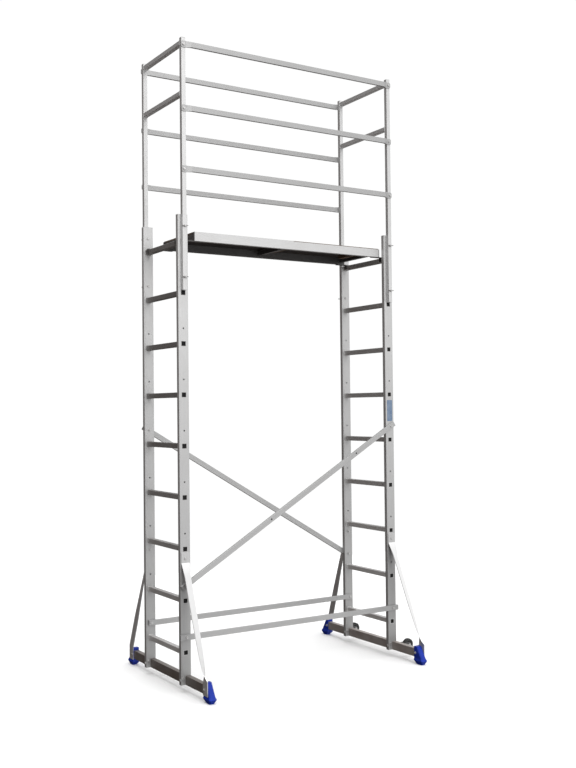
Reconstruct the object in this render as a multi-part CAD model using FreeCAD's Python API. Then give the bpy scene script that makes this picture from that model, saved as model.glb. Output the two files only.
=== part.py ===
import FreeCAD, Part
import math
import os

# Aluminium baker scaffold: two identical ladders stand on stabiliser bars and are tied by
# four braces. A hooked deck with a hatch lies on the ninth rungs, and two bolted guard
# frames with six rails stand above it. Millimetres. +X runs from the left ladder to the
# right one, -Y is the front and +Z is up. The origin is on the ground, midway between the
# outermost points.

# Overall layout
LADDER_SPACING = 1416.0      # ladder centre to ladder centre, along X
LADDER_WIDTH = 455.0         # stile centre to stile centre, along Y
RUNG_COUNT = 9
RUNG_PITCH = 280.0
FIRST_RUNG_Z = 214.0

# Stiles and rungs
STILE_WIDTH = 60.0           # along X
STILE_DEPTH = 25.0           # along Y
STILE_WALL = 2.0
STILE_ABOVE_TOP_RUNG = 148.0
RUNG_SIZE = 28.0
RUNG_WALL = 1.8
RUNG_CORNER = 2.0
HOLE_ABOVE_RUNG = 84.0
BOLT_RADIUS = 4.0
HOLE_RADIUS = 4.5
CAP_THICKNESS = 3.0
CAP_PLUG_DEPTH = 18.0
CAP_CLEARANCE = 0.2

# Stabiliser bars and feet
BAR_WIDTH = 30.0
BAR_HEIGHT = 50.0
BAR_WALL = 2.0
BAR_BOTTOM_Z = 40.0
BAR_HALF_LENGTH = 478.0
BAR_OFFSET = -3.0            # bar's left face from the ladder's centre
FOOT_WALL = 3.0
FOOT_FLOOR = 4.0
FOOT_CLEARANCE = 0.2
FOOT_SLEEVE = 23.0           # over the bar, inwards from its end
FOOT_TOP_ABOVE_BAR = 14.0
FOOT_TOP_REACH = 5.0         # beyond the bar's end
FOOT_TOE_REACH = 55.0
FOOT_TOE_Z = 22.0            # where the toe is widest
FOOT_TOE_FLARE = 4.5         # wider than the sleeve on each side
FOOT_SOLE_REACH = (2.0, 40.0)
FOOT_SOLE_HALF_WIDTH = 14.5
FOOT_CORNER = 6.0            # chamfer of the outer corners

# Diagonal stays
STAY_WIDTH = 50.0
STAY_THICKNESS = 4.0
STAY_RUNG = 3
STAY_TOP_DROP = 19.0         # below the rung's centre
STAY_BOLT_DROP = 51.0
STAY_BEND_DROP = 75.0
STAY_FOOT_Y = 480.0
STAY_FOOT_BOLT_Y = 466.0
STAY_FOOT_BEND_ABOVE_BAR = 20.0
STAY_FOOT_END_DROP = 4.0     # below the bar
STAY_STEPS = 16
# Share of the run and the strip's turn there in degrees
STAY_TWIST = {
    "front": ((0.0, 0.0), (0.12, 26.0), (0.6, 31.0), (0.85, 42.0), (0.94, 58.0), (1.0, 90.0)),
    "rear": ((0.0, 0.0), (0.08, 56.0), (0.28, 75.0), (0.5, 82.0), (0.7, 90.0)),
}

# Transport wheels
WHEEL_RADIUS = 36.0
WHEEL_FRONT_Y = -300.0
WHEEL_STILE_GAP = 0.4        # between the rear bracket and the stile's face
TYRE_WIDTH = 24.0
TYRE_THICKNESS = 8.0
HUB_WIDTH = 28.0
AXLE_RADIUS = 5.0
AXLE_CLEARANCE = 0.05
AXLE_REACH = 43.0            # from the bar's face
AXLE_Z = 74.0
BRACKET_PLATE = 3.0
BRACKET_SIDE_GAP = 0.6
BRACKET_HEIGHT = 32.0
BRACKET_NOSE = 12.0          # beyond the axle

# Braces and guard rails
TUBE_HEIGHT = 30.0
TUBE_DEPTH = 15.0
TUBE_WALL = 1.5
TUBE_TAB_THICKNESS = 4.0     # flattened end
TUBE_TAB_HEIGHT = 36.0
TUBE_TAB_INNER = 16.0        # from the bolt to where the flattening ends
TUBE_TAPER_LENGTH = 26.0
FRONT_BRACE_END = 38.0       # beyond the bolt
REAR_BRACE_END = 16.0
DIAGONAL_END = 30.0
RAIL_END = 15.0
BRACE_LOW_RUNG = 2
BRACE_HIGH_RUNG = 5
SPARE_HOLES = (0.384, 0.81)  # share of a diagonal's length, from its left bolt
SPARE_HOLE_RADIUS = 5.0

# Guard frames
POST_SIZE = 25.0
POST_WALL = 1.6
POST_FOOT_ABOVE_RUNG = 13.0
POST_TOP = 1122.0            # above the top rung
CROSSBAR_HEIGHTS = (1098.0, 818.0)
RAIL_HEIGHTS = {"lower": 397.0, "middle": 732.0, "upper": 1085.0}

# Platform
DECK_TOP = 70.0              # above the top rung
PLY_THICKNESS = 9.0
BEAM_WIDTH = 25.0
BEAM_WALL = 2.0
BEAM_LIP_HEIGHT = 5.0
BEAM_LIP_THICKNESS = 2.5
DECK_SIDE_GAP = 15.0         # between the deck and each stile
DECK_END_INSET = {"left": 94.0, "right": 39.0}
HOOK_THICKNESS = 4.0
HOOK_CLEARANCE = 0.5
HOOK_LIP = 26.0
HOOK_TAIL = 50.0
CROSS_WIDTH = 25.0
CROSS_HEIGHT = 30.0
HATCH_START = 12.0           # right of the deck's middle
HATCH_END_INSET = 35.0
HATCH_GAP = 4.0
HATCH_STRIP = 52.0           # fixed strip behind the hatch
BATTEN_HEIGHT = 18.0
BATTEN_WIDTH = 34.0
BATTEN_SIDE_GAP = 8.0
HINGE_LENGTH = 480.0
HINGE_LEAF = 32.0
HINGE_LEAF_THICKNESS = 2.0
HINGE_BARREL_RADIUS = 4.0
HINGE_PIN_RADIUS = 2.0
HINGE_PIN_CLEARANCE = 0.05
HINGE_KNUCKLES = 7
HINGE_GAP = 0.4

# Fasteners
HEX_FLATS = 13.0
HEX_HEAD = 5.3
NUT_HEIGHT = 6.5
THREAD_END = 4.0
WING_SPAN = 16.0
WING_HUB_RADIUS = 7.0
WING_HUB_HEIGHT = 9.0
WING_RISE = 7.0
WING_THICKNESS = 3.5
WING_CLEARANCE = 0.05
WING_SEAT_GAP = 0.3

# Derived places
OVERHANG = 100.0             # how far a cutter runs past what it cuts
bar_top_z = BAR_BOTTOM_Z + BAR_HEIGHT
bar_middle_z = BAR_BOTTOM_Z + BAR_HEIGHT / 2
axle_offset = BAR_OFFSET + BAR_WIDTH + AXLE_REACH
left_reach = FRONT_BRACE_END
right_reach = axle_offset + WHEEL_RADIUS
centre_shift = (right_reach - left_reach) / 2
LADDER_X = {
    "left": -LADDER_SPACING / 2 - centre_shift,
    "right": LADDER_SPACING / 2 - centre_shift,
}
FACING = {"front": -1, "rear": 1}
stile_face_y = LADDER_WIDTH / 2 + STILE_DEPTH / 2
stile_inner_y = LADDER_WIDTH / 2 - STILE_DEPTH / 2
bracket_arm_y = HUB_WIDTH / 2 + BRACKET_SIDE_GAP    # inner face of an arm, from the wheel's middle
bracket_outer_y = bracket_arm_y + BRACKET_PLATE
wheel_y = {"front": WHEEL_FRONT_Y, "rear": stile_face_y + WHEEL_STILE_GAP + bracket_outer_y}
top_rung_z = FIRST_RUNG_Z + (RUNG_COUNT - 1) * RUNG_PITCH
stile_top_z = top_rung_z + STILE_ABOVE_TOP_RUNG

X_AXIS = FreeCAD.Vector(1, 0, 0)
Y_AXIS = FreeCAD.Vector(0, 1, 0)
Z_AXIS = FreeCAD.Vector(0, 0, 1)


def rung_z(number):
    """Height of a rung's centre, counted from 1 at the bottom."""
    return FIRST_RUNG_Z + (number - 1) * RUNG_PITCH


def hole_z(number):
    """Height of the bolt hole above a rung."""
    return rung_z(number) + HOLE_ABOVE_RUNG


def block(x_range, y_range, z_range):
    """Box between two values along each axis, given in either order."""
    lows = [min(pair) for pair in (x_range, y_range, z_range)]
    sizes = [abs(pair[1] - pair[0]) for pair in (x_range, y_range, z_range)]
    return Part.makeBox(*sizes, FreeCAD.Vector(*lows))


def rod(start, direction, length, radius):
    return Part.makeCylinder(radius, length, start, direction)


def placed(shape, point, direction):
    """Shape built along +Z at the origin, turned to a direction and moved to a point."""
    copy = shape.copy()
    copy.Placement = FreeCAD.Placement(point, FreeCAD.Rotation(Z_AXIS, direction))
    return copy


def hexagon(height, flats=HEX_FLATS):
    """Hexagonal prism along +Z, standing on the origin."""
    radius = flats / math.sqrt(3)
    angles = [math.radians(60 * step) for step in range(7)]
    corners = [FreeCAD.Vector(radius * math.cos(a), radius * math.sin(a), 0) for a in angles]
    return Part.Face(Part.makePolygon(corners)).extrude(Z_AXIS * height)


def bolt(start, direction, grip, end=NUT_HEIGHT + THREAD_END):
    """Hex bolt whose head seats at start; the shank runs through the grip and on to the end."""
    shank = Part.makeCylinder(BOLT_RADIUS, grip + end)
    head = hexagon(HEX_HEAD)
    head.translate(Z_AXIS * -HEX_HEAD)
    return placed(shank.fuse(head), start, direction)


def nut(start, direction):
    blank = hexagon(NUT_HEIGHT)
    return placed(blank.cut(Part.makeCylinder(BOLT_RADIUS, NUT_HEIGHT)), start, direction)


def bolt_and_nut(start, direction, grip):
    return [bolt(start, direction, grip), nut(start + direction * grip, direction)]


def square_tube(size, wall, length, corner=0.0):
    """Square tube along +Z, centred on the axis, with an optional outer corner radius."""
    outer = Part.makeBox(size, size, length, FreeCAD.Vector(-size / 2, -size / 2, 0))
    if corner:
        upright = [edge for edge in outer.Edges if abs(edge.tangentAt(0).z) > 0.9]
        outer = outer.makeFillet(corner, upright)
    bore = size - 2 * wall
    return outer.cut(Part.makeBox(bore, bore, length, FreeCAD.Vector(-bore / 2, -bore / 2, 0)))


def export(name, shape):
    """Write one node, from a solid or a list of solids."""
    if isinstance(shape, list):
        shape = Part.makeCompound([solid for item in shape for solid in item.Solids])
    shape.exportStep("parts/" + name + ".step")


# Ladders ----------------------------------------------------------------------------------

def stile(ladder_x, facing):
    """Stile tube, notched at its foot so that its left half passes beside the bar."""
    y_middle = facing * LADDER_WIDTH / 2
    half_width = STILE_WIDTH / 2
    half_depth = STILE_DEPTH / 2
    bottom_z = BAR_BOTTOM_Z
    x_range = (ladder_x - half_width, ladder_x + half_width)
    tube = block(x_range, (y_middle - half_depth, y_middle + half_depth), (bottom_z, stile_top_z))
    upright = [edge for edge in tube.Edges if abs(edge.tangentAt(0).z) > 0.9]
    tube = tube.makeFillet(STILE_WALL * 0.8, upright)
    inside_x = (x_range[0] + STILE_WALL, x_range[1] - STILE_WALL)
    inside_y = (y_middle - half_depth + STILE_WALL, y_middle + half_depth - STILE_WALL)
    tube = tube.cut(block(inside_x, inside_y, (bottom_z, stile_top_z)))
    notch_x = (ladder_x + BAR_OFFSET, x_range[1] + OVERHANG)
    notch_y = (y_middle - STILE_DEPTH, y_middle + STILE_DEPTH)
    cutters = [block(notch_x, notch_y, (0, bar_top_z))]
    for number in range(1, RUNG_COUNT + 1):
        cutters.append(rung_slot(ladder_x, y_middle, rung_z(number)))
        hole_start = FreeCAD.Vector(ladder_x, y_middle - STILE_DEPTH, hole_z(number))
        cutters.append(rod(hole_start, Y_AXIS, 2 * STILE_DEPTH, HOLE_RADIUS))
    stay_hole = FreeCAD.Vector(ladder_x, y_middle - STILE_DEPTH, rung_z(STAY_RUNG) - STAY_BOLT_DROP)
    cutters.append(rod(stay_hole, Y_AXIS, 2 * STILE_DEPTH, BOLT_RADIUS))
    cutters += [tongue_bolt_hole(ladder_x, y_middle), bar_bolt_hole(ladder_x, y_middle)]
    return tube.cut(cutters)


def rung_slot(ladder_x, y_middle, z):
    """Square cutter the size of a rung's outside."""
    slot = square_tube(RUNG_SIZE, RUNG_SIZE / 2 - 0.01, 2 * STILE_DEPTH, RUNG_CORNER)
    core = RUNG_SIZE / 2
    slot = slot.fuse(Part.makeBox(core, core, 2 * STILE_DEPTH, FreeCAD.Vector(-core / 2, -core / 2, 0)))
    return placed(slot, FreeCAD.Vector(ladder_x, y_middle - STILE_DEPTH, z), Y_AXIS)


def rung(ladder_x, z):
    """Square tube right through both stiles, flush with their outer faces."""
    tube = square_tube(RUNG_SIZE, RUNG_WALL, 2 * stile_face_y, RUNG_CORNER)
    return placed(tube, FreeCAD.Vector(ladder_x, -stile_face_y, z), Y_AXIS)


def cap_plug(width, depth, wall):
    """Tube end cap along +Z: a plug below the origin and a thin head above it."""
    head = Part.makeBox(width, depth, CAP_THICKNESS, FreeCAD.Vector(-width / 2, -depth / 2, 0))
    top_edges = [edge for edge in head.Edges if edge.CenterOfMass.z > CAP_THICKNESS - 0.01]
    head = head.makeFillet(CAP_THICKNESS / 2, top_edges)
    plug_width = width - 2 * wall - 2 * CAP_CLEARANCE
    plug_depth = depth - 2 * wall - 2 * CAP_CLEARANCE
    corner = FreeCAD.Vector(-plug_width / 2, -plug_depth / 2, -CAP_PLUG_DEPTH)
    return head.fuse(Part.makeBox(plug_width, plug_depth, CAP_PLUG_DEPTH, corner))


def tongue_bolt_hole(ladder_x, y_middle):
    """Hole along Y through the tongue beside the bar."""
    start = FreeCAD.Vector(tongue_x(ladder_x), y_middle - STILE_DEPTH, bar_top_z - BAR_HEIGHT / 4)
    return rod(start, Y_AXIS, 2 * STILE_DEPTH, BOLT_RADIUS)


def tongue_x(ladder_x):
    return ladder_x + (BAR_OFFSET - STILE_WIDTH / 2) / 2


def bar_bolt_hole(ladder_x, y_middle):
    """Hole along X through the tongue and the bar."""
    start = FreeCAD.Vector(ladder_x - STILE_WIDTH, y_middle, bar_middle_z)
    return rod(start, X_AXIS, 2 * STILE_WIDTH, BOLT_RADIUS)


# Stabiliser bars, feet and stays ----------------------------------------------------------

def bar_x_range(ladder_x):
    return ladder_x + BAR_OFFSET, ladder_x + BAR_OFFSET + BAR_WIDTH


def stay_bolt_point(ladder_x, facing):
    return FreeCAD.Vector(ladder_x, facing * STAY_FOOT_BOLT_Y, bar_middle_z)


def base_bar(ladder_x):
    x_low, x_high = bar_x_range(ladder_x)
    bar = block((x_low, x_high), (-BAR_HALF_LENGTH, BAR_HALF_LENGTH), (BAR_BOTTOM_Z, bar_top_z))
    along = [edge for edge in bar.Edges if abs(edge.tangentAt(0).y) > 0.9]
    bar = bar.makeFillet(BAR_WALL * 0.8, along)
    inside_x = (x_low + BAR_WALL, x_high - BAR_WALL)
    inside_z = (BAR_BOTTOM_Z + BAR_WALL, bar_top_z - BAR_WALL)
    cutters = [block(inside_x, (-BAR_HALF_LENGTH, BAR_HALF_LENGTH), inside_z)]
    for facing in FACING.values():
        cutters.append(bar_bolt_hole(ladder_x, facing * LADDER_WIDTH / 2))
        start = stay_bolt_point(ladder_x, facing) - X_AXIS * OVERHANG
        cutters.append(rod(start, X_AXIS, 2 * OVERHANG, BOLT_RADIUS))
    return bar.cut(cutters)


def foot(ladder_x, facing):
    """Moulded boot: a short sleeve over the bar's end, on a flared toe with a chamfered sole."""
    x_low, x_high = bar_x_range(ladder_x)
    x_middle = (x_low + x_high) / 2
    waist = BAR_WIDTH / 2 + FOOT_WALL
    inner = BAR_HALF_LENGTH - FOOT_SLEEVE
    toe = BAR_HALF_LENGTH + FOOT_TOE_REACH
    top = BAR_HALF_LENGTH + FOOT_TOP_REACH
    top_z = bar_top_z + FOOT_TOP_ABOVE_BAR
    floor_z = BAR_BOTTOM_Z - FOOT_FLOOR
    lean = (toe - top) / (top_z - FOOT_TOE_Z)
    sole = [BAR_HALF_LENGTH + reach for reach in FOOT_SOLE_REACH]
    # Height, inner and outer end along Y, half width along X
    levels = [
        (0.0, sole[0], sole[1], FOOT_SOLE_HALF_WIDTH),
        (FOOT_TOE_Z, inner, toe, waist + FOOT_TOE_FLARE),
        (floor_z, inner, toe - lean * (floor_z - FOOT_TOE_Z), waist),
        (top_z, inner, top, waist),
    ]
    sections = []
    for z, inner_y, outer_y, half in levels:
        cut = FOOT_CORNER
        corners = [(-half, inner_y), (half, inner_y), (half, outer_y - cut),
                   (half - cut, outer_y), (cut - half, outer_y), (-half, outer_y - cut)]
        loop = [FreeCAD.Vector(x_middle + x, facing * y, z) for x, y in corners]
        sections.append(Part.makePolygon(loop + loop[:1]))
    body = Part.makeLoft(sections, True, True)
    pocket_x = (x_low - FOOT_CLEARANCE, x_high + FOOT_CLEARANCE)
    pocket_z = (BAR_BOTTOM_Z - FOOT_CLEARANCE, bar_top_z + FOOT_CLEARANCE)
    pocket = block(pocket_x, (0, facing * (BAR_HALF_LENGTH + FOOT_CLEARANCE)), pocket_z)
    start = stay_bolt_point(ladder_x, facing) - X_AXIS * OVERHANG
    return body.cut([pocket, rod(start, X_AXIS, 2 * OVERHANG, BOLT_RADIUS)])


def twist_at(table, share):
    """Turn at a share of the run, straight between the table's entries."""
    for (low, low_turn), (high, high_turn) in zip(table, table[1:]):
        if share <= high:
            return low_turn + (high_turn - low_turn) * (share - low) / (high - low)
    return table[-1][1]


def strip_section(centre, direction, turn):
    """Rectangular section of a flat strip, as a closed wire across its direction."""
    angle = math.radians(turn)
    level = FreeCAD.Vector(math.cos(angle), math.sin(angle), 0)
    across = (level - direction * level.dot(direction)).normalize()
    half = across * (STAY_WIDTH / 2)
    thick = direction.cross(across) * (STAY_THICKNESS / 2)
    corners = [centre - half - thick, centre + half - thick, centre + half + thick, centre - half + thick]
    return Part.makePolygon(corners + corners[:1])


def mitred_section(centre, normal, turn):
    """Section of the upright strip, cut on the plane where it bends."""
    angle = math.radians(turn)
    across = FreeCAD.Vector(math.cos(angle), math.sin(angle), 0) * (STAY_WIDTH / 2)
    thick = FreeCAD.Vector(math.sin(angle), -math.cos(angle), 0) * (STAY_THICKNESS / 2)
    corners = []
    for offset in (across * -1 - thick, across - thick, across + thick, thick - across):
        offset.z = -(normal.x * offset.x + normal.y * offset.y) / normal.z
        corners.append(centre + offset)
    return Part.makePolygon(corners + corners[:1])


def stay_plate_x(ladder_x, outer_side):
    """Middle of the strip where it lies against the foot, on the tower's outer side."""
    x_low, x_high = bar_x_range(ladder_x)
    if outer_side < 0:
        return x_low - FOOT_WALL - STAY_THICKNESS / 2
    return x_high + FOOT_WALL + STAY_THICKNESS / 2


def stay(ladder_x, facing, outer_side, twist):
    """Flat strip bolted to the stile and twisted a quarter turn on its way to the foot."""
    down = Z_AXIS * -1
    top_y = facing * (stile_face_y + STAY_THICKNESS / 2)
    rung_height = rung_z(STAY_RUNG)
    top = FreeCAD.Vector(ladder_x, top_y, rung_height - STAY_TOP_DROP)
    bend = FreeCAD.Vector(ladder_x, top_y, rung_height - STAY_BEND_DROP)
    plate_x = stay_plate_x(ladder_x, outer_side)
    foot_y = facing * STAY_FOOT_Y
    foot_bend = FreeCAD.Vector(plate_x, foot_y, bar_top_z + STAY_FOOT_BEND_ABOVE_BAR)
    end = FreeCAD.Vector(plate_x, foot_y, BAR_BOTTOM_Z - STAY_FOOT_END_DROP)
    run = foot_bend - bend
    along = FreeCAD.Vector(run).normalize()
    half_bent = (along + down).normalize()
    sections = [mitred_section(top, down, 0), mitred_section(bend, half_bent, 0)]
    for step in range(1, STAY_STEPS):
        share = step / STAY_STEPS
        sections.append(strip_section(bend + run * share, along, twist_at(twist, share)))
    sections += [mitred_section(foot_bend, half_bent, 90), mitred_section(end, down, 90)]
    strip = Part.makeLoft(sections, True, True)
    outward = Y_AXIS * facing
    top_hole = FreeCAD.Vector(ladder_x, 0, rung_height - STAY_BOLT_DROP)
    low_hole = stay_bolt_point(ladder_x, facing) - X_AXIS * OVERHANG
    return strip.cut([rod(top_hole, outward, stile_face_y + OVERHANG, BOLT_RADIUS),
                      rod(low_hole, X_AXIS, 2 * OVERHANG, BOLT_RADIUS)])


# Transport wheels -------------------------------------------------------------------------

def axle_point(face_name):
    return FreeCAD.Vector(LADDER_X["right"] + axle_offset, wheel_y[face_name], AXLE_Z)


def tyre(face_name):
    centre = axle_point(face_name) - Y_AXIS * (TYRE_WIDTH / 2)
    ring = rod(centre, Y_AXIS, TYRE_WIDTH, WHEEL_RADIUS)
    rims = [edge for edge in ring.Edges if edge.Length > WHEEL_RADIUS * 6]
    ring = ring.makeFillet(TYRE_THICKNESS / 3, rims)
    return ring.cut(rod(centre, Y_AXIS, TYRE_WIDTH, WHEEL_RADIUS - TYRE_THICKNESS))


def hub(face_name):
    """Wheel centre: a rim, a web and a boss that turns on the axle."""
    centre = axle_point(face_name)
    rim_radius = WHEEL_RADIUS - TYRE_THICKNESS
    boss_radius = 2.2 * AXLE_RADIUS
    rim = rod(centre - Y_AXIS * (TYRE_WIDTH / 2), Y_AXIS, TYRE_WIDTH, rim_radius)
    groove = TYRE_WIDTH * 0.35
    for side in (-1, 1):
        start = centre + Y_AXIS * (side * TYRE_WIDTH / 2)
        ring = rod(start, Y_AXIS * -side, groove, rim_radius - 4)
        rim = rim.cut(ring)
    boss = rod(centre - Y_AXIS * (HUB_WIDTH / 2), Y_AXIS, HUB_WIDTH, boss_radius)
    bore = rod(centre - Y_AXIS * HUB_WIDTH, Y_AXIS, 2 * HUB_WIDTH, AXLE_RADIUS + AXLE_CLEARANCE)
    return rim.fuse(boss).cut(bore)


def wheel_bracket(face_name):
    """Channel welded to the bar's face, with two arms that hold the axle."""
    x_face = bar_x_range(LADDER_X["right"])[1]
    arm, outer = bracket_arm_y, bracket_outer_y
    centre = axle_point(face_name)
    z_range = (AXLE_Z - BRACKET_HEIGHT / 2, AXLE_Z + BRACKET_HEIGHT / 2)
    nose_x = centre.x + BRACKET_NOSE
    channel = block((x_face, nose_x), (centre.y - outer, centre.y + outer), z_range)
    inside = block((x_face + BRACKET_PLATE, nose_x), (centre.y - arm, centre.y + arm), z_range)
    channel = channel.cut(inside)
    tips = [edge for edge in channel.Edges
            if abs(edge.tangentAt(0).y) > 0.9 and edge.CenterOfMass.x > nose_x - 0.01]
    channel = channel.makeFillet(BRACKET_NOSE * 0.9, tips)
    return channel.cut(rod(centre - Y_AXIS * OVERHANG, Y_AXIS, 2 * OVERHANG, AXLE_RADIUS))


def wheel_axle(face_name):
    """Axle bolt with its nut, across the bracket's arms."""
    reach = bracket_outer_y
    start = axle_point(face_name) - Y_AXIS * reach
    flats = 3 * AXLE_RADIUS
    shank = Part.makeCylinder(AXLE_RADIUS, 2 * reach + NUT_HEIGHT + THREAD_END / 2)
    head = hexagon(HEX_HEAD, flats)
    head.translate(Z_AXIS * -HEX_HEAD)
    blank = hexagon(NUT_HEIGHT, flats).cut(Part.makeCylinder(AXLE_RADIUS, NUT_HEIGHT))
    return [placed(shank.fuse(head), start, Y_AXIS), placed(blank, start + Y_AXIS * (2 * reach), Y_AXIS)]


# Braces and guard rails -------------------------------------------------------------------

def tube_section(x, facing, depth, height):
    """Rectangle across a tube, its back edge on the plane through the bolts."""
    corners = [(0, -height / 2), (depth, -height / 2), (depth, height / 2), (0, height / 2)]
    loop = [FreeCAD.Vector(x, facing * y, z) for y, z in corners]
    return Part.makePolygon(loop + loop[:1])


def flat_tube(x_range, facing):
    """Hollow tube along X, its back on the plane Y = 0."""
    half = TUBE_HEIGHT / 2
    tube = block(x_range, (0, facing * TUBE_DEPTH), (-half, half))
    along = [edge for edge in tube.Edges if abs(edge.tangentAt(0).x) > 0.9]
    tube = tube.makeFillet(TUBE_WALL * 0.9, along)
    inside_y = (facing * TUBE_WALL, facing * (TUBE_DEPTH - TUBE_WALL))
    inside_z = (-half + TUBE_WALL, half - TUBE_WALL)
    return tube.cut(block(x_range, inside_y, inside_z))


def tube_bolt_hole(x):
    return rod(FreeCAD.Vector(x, -TUBE_DEPTH, 0), Y_AXIS, 2 * TUBE_DEPTH, BOLT_RADIUS)


def laid_along(tube, start, run):
    """Tube built along X from the origin, moved to its start and sloped along its run."""
    slope = math.degrees(math.atan2(run.z, run.x))
    tube.Placement = FreeCAD.Placement(start, FreeCAD.Rotation(Y_AXIS, -slope))
    return tube


def open_brace(start, end, facing, overrun, spare_holes):
    """Brace with plain open ends beyond its bolts, and spare holes in its outer wall."""
    run = end - start
    tube = flat_tube((-overrun, run.Length + overrun), facing)
    cutters = [tube_bolt_hole(0), tube_bolt_hole(run.Length)]
    for share in spare_holes:
        hole_start = FreeCAD.Vector(run.Length * share, facing * TUBE_DEPTH / 2, 0)
        cutters.append(rod(hole_start, Y_AXIS * facing, TUBE_DEPTH, SPARE_HOLE_RADIUS))
    return laid_along(tube.cut(cutters), start, run)


def flattened_rail(start, end, facing, overrun):
    """Rail whose ends are flattened for their bolts."""
    run = end - start
    length = run.Length
    first = TUBE_TAB_INNER + TUBE_TAPER_LENGTH
    tube = flat_tube((first, length - first), facing)
    for bolt_x, outward in ((0, -1), (length, 1)):
        tab_x = bolt_x - outward * TUBE_TAB_INNER
        taper = [tube_section(bolt_x - outward * first, facing, TUBE_DEPTH, TUBE_HEIGHT),
                 tube_section(tab_x, facing, TUBE_TAB_THICKNESS, TUBE_TAB_HEIGHT)]
        tab_half = TUBE_TAB_HEIGHT / 2
        tip_x = bolt_x + outward * overrun
        tab = block((tab_x, tip_x), (0, facing * TUBE_TAB_THICKNESS), (-tab_half, tab_half))
        corners = [edge for edge in tab.Edges
                   if abs(edge.tangentAt(0).y) > 0.9 and abs(edge.CenterOfMass.x - tip_x) < 0.01]
        tab = tab.makeFillet(min(overrun, tab_half) * 0.7, corners)
        tube = tube.fuse([Part.makeLoft(taper, True, True), tab])
    return laid_along(tube.cut([tube_bolt_hole(0), tube_bolt_hole(length)]), start, run)


def tube_bolts(point, facing, thickness, grip):
    """Bolt seated on a tube's outer side, with its nut beyond the part that carries the tube."""
    inward = Y_AXIS * -facing
    return bolt_and_nut(point - inward * thickness, inward, grip + thickness)


# Stile face, side the brace lies on, rungs under its left and right bolts, end beyond a bolt
# and spare holes
BRACES = {
    "brace_front_horizontal": (-stile_face_y, -1, 1, 1, FRONT_BRACE_END, ()),
    "brace_rear_horizontal": (stile_inner_y, -1, 1, 1, REAR_BRACE_END, ()),
    "brace_front_diagonal": (
        -stile_face_y, -1, BRACE_LOW_RUNG, BRACE_HIGH_RUNG, DIAGONAL_END, SPARE_HOLES),
    "brace_rear_diagonal": (
        stile_face_y, 1, BRACE_HIGH_RUNG, BRACE_LOW_RUNG, DIAGONAL_END, SPARE_HOLES),
}


# Guard frames -----------------------------------------------------------------------------

def post_y(facing):
    return facing * (stile_face_y + POST_SIZE / 2)


def rail_points(facing, height):
    y = facing * (stile_face_y + POST_SIZE)
    z = top_rung_z + height
    return FreeCAD.Vector(LADDER_X["left"], y, z), FreeCAD.Vector(LADDER_X["right"], y, z)


def guard_post(ladder_x, facing):
    low_z = rung_z(RUNG_COUNT - 1) + POST_FOOT_ABOVE_RUNG
    high_z = top_rung_z + POST_TOP
    tube = square_tube(POST_SIZE, POST_WALL, high_z - low_z, POST_WALL)
    tube.translate(FreeCAD.Vector(ladder_x, post_y(facing), low_z))
    cutters = []
    for number in (RUNG_COUNT - 1, RUNG_COUNT):
        start = FreeCAD.Vector(ladder_x, post_y(facing) - POST_SIZE, hole_z(number))
        cutters.append(rod(start, Y_AXIS, 2 * POST_SIZE, BOLT_RADIUS))
    for height in RAIL_HEIGHTS.values():
        start = FreeCAD.Vector(ladder_x, post_y(facing), top_rung_z + height)
        cutters.append(rod(start, Y_AXIS * facing, POST_SIZE, BOLT_RADIUS))
    return tube.cut(cutters)


def crossbar(ladder_x, height):
    """Tube welded between the two posts of one guard frame."""
    tube = square_tube(POST_SIZE, POST_WALL, 2 * stile_face_y, POST_WALL)
    return placed(tube, FreeCAD.Vector(ladder_x, -stile_face_y, top_rung_z + height), Y_AXIS)


def wing_nut(start, direction):
    """Hub with two raised wings."""
    half = WING_THICKNESS / 2
    outline = [
        (-WING_SPAN, WING_HUB_HEIGHT * 0.45),
        (-WING_SPAN, WING_HUB_HEIGHT + WING_RISE),
        (-WING_SPAN * 0.66, WING_HUB_HEIGHT + WING_RISE),
        (-WING_HUB_RADIUS * 0.75, WING_HUB_HEIGHT),
        (WING_HUB_RADIUS * 0.75, WING_HUB_HEIGHT),
        (WING_SPAN * 0.66, WING_HUB_HEIGHT + WING_RISE),
        (WING_SPAN, WING_HUB_HEIGHT + WING_RISE),
        (WING_SPAN, WING_HUB_HEIGHT * 0.45),
        (WING_HUB_RADIUS * 0.75, 0),
        (-WING_HUB_RADIUS * 0.75, 0),
    ]
    points = [FreeCAD.Vector(x, -half, z) for x, z in outline]
    wings = Part.Face(Part.makePolygon(points + points[:1])).extrude(Y_AXIS * WING_THICKNESS)
    tips = [edge for edge in wings.Edges
            if abs(edge.tangentAt(0).y) > 0.9 and edge.CenterOfMass.z > WING_HUB_HEIGHT + WING_RISE - 0.1]
    wings = wings.makeFillet(WING_SPAN * 0.14, tips)
    hub_body = Part.makeCone(WING_HUB_RADIUS, WING_HUB_RADIUS * 0.8, WING_HUB_HEIGHT)
    bore = Part.makeCylinder(BOLT_RADIUS + WING_CLEARANCE, WING_HUB_HEIGHT + WING_RISE)
    return placed(wings.fuse(hub_body).cut(bore), start, direction)


def guard_fixing(ladder_x, facing, number):
    """Bolt through stile and post, with its head inside and a wing nut outside."""
    outward = Y_AXIS * facing
    start = FreeCAD.Vector(ladder_x, facing * stile_inner_y, hole_z(number))
    grip = STILE_DEPTH + POST_SIZE
    clamp = wing_nut(start + outward * (grip + WING_SEAT_GAP), outward)
    return bolt(start, outward, grip, WING_HUB_HEIGHT + THREAD_END), clamp


# Platform ---------------------------------------------------------------------------------

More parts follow.
